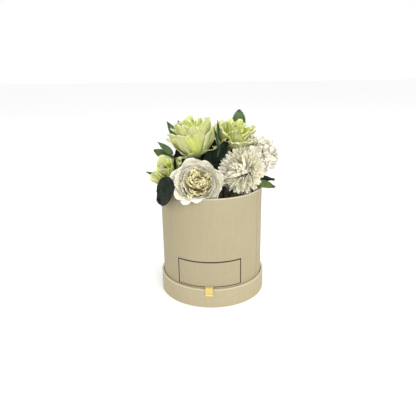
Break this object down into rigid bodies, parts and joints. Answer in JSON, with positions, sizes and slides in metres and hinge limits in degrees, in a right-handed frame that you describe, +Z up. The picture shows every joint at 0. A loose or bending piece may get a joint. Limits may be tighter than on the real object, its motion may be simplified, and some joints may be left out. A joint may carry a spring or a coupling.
{
  "type": "flower box",
  "caption": "Round paper-covered flower box standing in its upturned lid, with a curved-front drawer on a ribbon pull and artificial flowers set in a foam block.",
  "frame": {"origin": "on the table at the tube's axis, in the middle of the upturned lid's underside", "axes": "+Z up along the tube, -Y towards the drawer's face, +X to the right of someone facing the drawer"},
  "size_m": [0.2183, 0.1869, 0.302],
  "materials": {
    "cover_paper": "linen-embossed cream covering paper, matt",
    "greyboard": "uncoated greyboard",
    "ribbon_satin": "gold-yellow satin ribbon",
    "foam_green": "dry floral foam, open grain",
    "petal_white": "off-white polyester petal",
    "petal_green": "pale green polyester petal, veined",
    "petal_blush": "pinkish white polyester petal",
    "flower_heart": "cream flower heart",
    "leaf_green": "printed green cloth leaf with plastic rib",
    "stem_plastic": "green moulded plastic over wire"
  },
  "bodies": {
    "lid": {"lid_plate": "greyboard", "lid_ring": "greyboard", "lid_wrap": "cover_paper"},
    "box": {"back_stop": "greyboard", "chrysanthemum_core": "flower_heart", "chrysanthemum_petals": "petal_white", "chrysanthemum_stem": "stem_plastic", "divider_floor": "greyboard", "drawer_shelf": "greyboard", "foam_block": "foam_green", "green_left_core": "flower_heart", "green_left_petals": "petal_green", "green_left_stem": "stem_plastic", "green_right_core": "flower_heart", "green_right_petals": "petal_green", "green_right_stem": "stem_plastic", "guide_left": "greyboard", "guide_right": "greyboard", "hydrangea_back_core": "flower_heart", "hydrangea_back_petals": "petal_blush", "hydrangea_back_stem": "stem_plastic", "hydrangea_right_core": "flower_heart", "hydrangea_right_petals": "petal_blush", "hydrangea_right_stem": "stem_plastic", "leaf_back_left": "leaf_green", "leaf_back_right": "leaf_green", "leaf_between": "leaf_green", "leaf_centre": "leaf_green", "leaf_left_high": "leaf_green", "leaf_left_low": "leaf_green", "leaf_left_olive": "leaf_green", "leaf_right": "leaf_green", "leaf_right_low": "leaf_green", "leaf_rim": "leaf_green", "leaf_top_left": "leaf_green", "leaf_top_right": "leaf_green", "leaf_upper_left": "leaf_green", "rose_back_core": "flower_heart", "rose_back_petals": "petal_white", "rose_back_stem": "stem_plastic", "rose_front_core": "flower_heart", "rose_front_petals": "petal_white", "rose_front_stem": "stem_plastic", "rose_left_core": "flower_heart", "rose_left_petals": "petal_white", "rose_left_stem": "stem_plastic", "sprig_centre": "leaf_green", "tube_floor": "greyboard", "tube_wall": "greyboard", "tube_wrap": "cover_paper"},
    "drawer": {"drawer_face": "greyboard", "drawer_face_wrap": "cover_paper", "tray_back": "greyboard", "tray_base": "greyboard", "tray_front": "greyboard", "tray_left": "greyboard", "tray_right": "greyboard", "ribbon_anchor": "ribbon_satin"},
    "ribbon": {"ribbon_tab": "ribbon_satin"}
  },
  "joints": [
    {"name": "box_lift", "type": "slide", "parent": "lid", "child": "box", "axis": [0, 0, 1], "range_m": [0, 0.04]},
    {"name": "drawer_slide", "type": "slide", "parent": "box", "child": "drawer", "axis": [0, -1, 0], "range_m": [0, 0.1]},
    {"name": "ribbon_lift", "type": "hinge", "parent": "drawer", "child": "ribbon", "pos_m": [0, -0.09035, 0.03515], "axis": [-1, 0, 0], "range_deg": [0, 90]}
  ]
}
